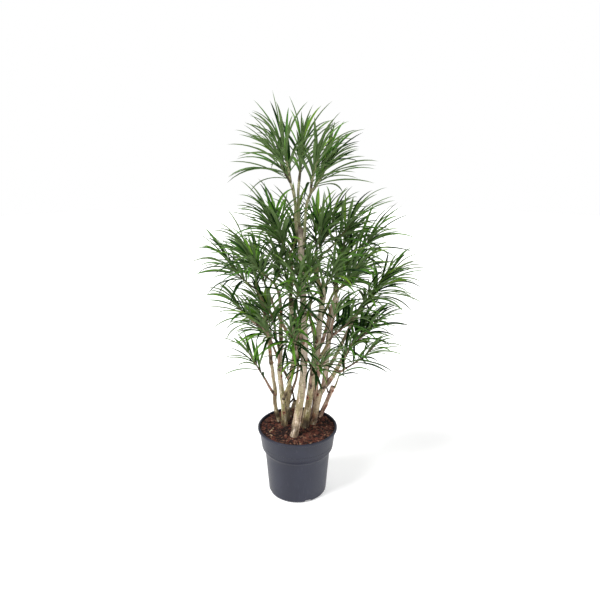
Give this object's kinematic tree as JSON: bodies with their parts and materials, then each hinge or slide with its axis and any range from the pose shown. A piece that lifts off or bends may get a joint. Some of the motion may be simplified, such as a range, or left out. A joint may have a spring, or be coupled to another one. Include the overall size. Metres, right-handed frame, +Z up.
{
  "type": "potted multi-stem dracaena",
  "caption": "House plant of bare leaning canes whose boughs end in masses of narrow arching leaves, in a round nursery pot with a collar, filled with bark mulch.",
  "frame": {"origin": "middle of the pot's flat underside", "axes": "+Z up along the pot's axis; the picture was taken looking along +Y, with +X to its right"},
  "size_m": [0.8542, 0.6041, 1.5145],
  "materials": {
    "pot": "satin",
    "soil": "matte",
    "bark": "matte",
    "bough_bark": "matte",
    "leaf": "satin"
  },
  "bodies": {
    "root": {"pot": "pot", "soil": "soil", "cane_left": "bark", "cane_left_forked": "bark", "cane_left_stub": "bark", "cane_tall": "bark", "cane_middle": "bark", "cane_right_forked": "bark", "cane_right_stub": "bark", "cane_back_left": "bark", "cane_back_right": "bark", "bough_top_left": "bough_bark", "bough_top_right": "bough_bark", "bough_upper_left": "bough_bark", "bough_upper_right": "bough_bark", "bough_upper_far_right": "bough_bark", "bough_upper_back_left": "bough_bark", "bough_upper_back_right": "bough_bark", "bough_middle_far_left": "bough_bark", "bough_middle_left": "bough_bark", "bough_middle_front": "bough_bark", "bough_middle_front_right": "bough_bark", "bough_middle_far_right": "bough_bark", "bough_middle_back_left": "bough_bark", "bough_middle_back": "bough_bark", "bough_middle_back_right": "bough_bark", "bough_low_far_left": "bough_bark", "bough_low_front": "bough_bark", "bough_low_right": "bough_bark", "bough_low_far_right": "bough_bark", "bough_low_back_right": "bough_bark", "leaves_top_left": "leaf", "leaves_top_back": "leaf", "leaves_top_right": "leaf", "leaves_upper_left": "leaf", "leaves_upper_right": "leaf", "leaves_upper_far_right": "leaf", "leaves_upper_back_left": "leaf", "leaves_upper_back_right": "leaf", "leaves_middle_far_left": "leaf", "leaves_middle_left": "leaf", "leaves_middle_front": "leaf", "leaves_middle_front_right": "leaf", "leaves_middle_right": "leaf", "leaves_middle_far_right": "leaf", "leaves_middle_back_left": "leaf", "leaves_middle_back": "leaf", "leaves_middle_back_right": "leaf", "leaves_low_far_left": "leaf", "leaves_low_left": "leaf", "leaves_low_front": "leaf", "leaves_low_right": "leaf", "leaves_low_far_right": "leaf", "leaves_low_back_left": "leaf", "leaves_low_back_right": "leaf", "leaves_lowest_left": "leaf", "leaves_lowest_front": "leaf", "leaves_lowest_right": "leaf", "leaves_lowest_back": "leaf"}
  },
  "joints": []
}
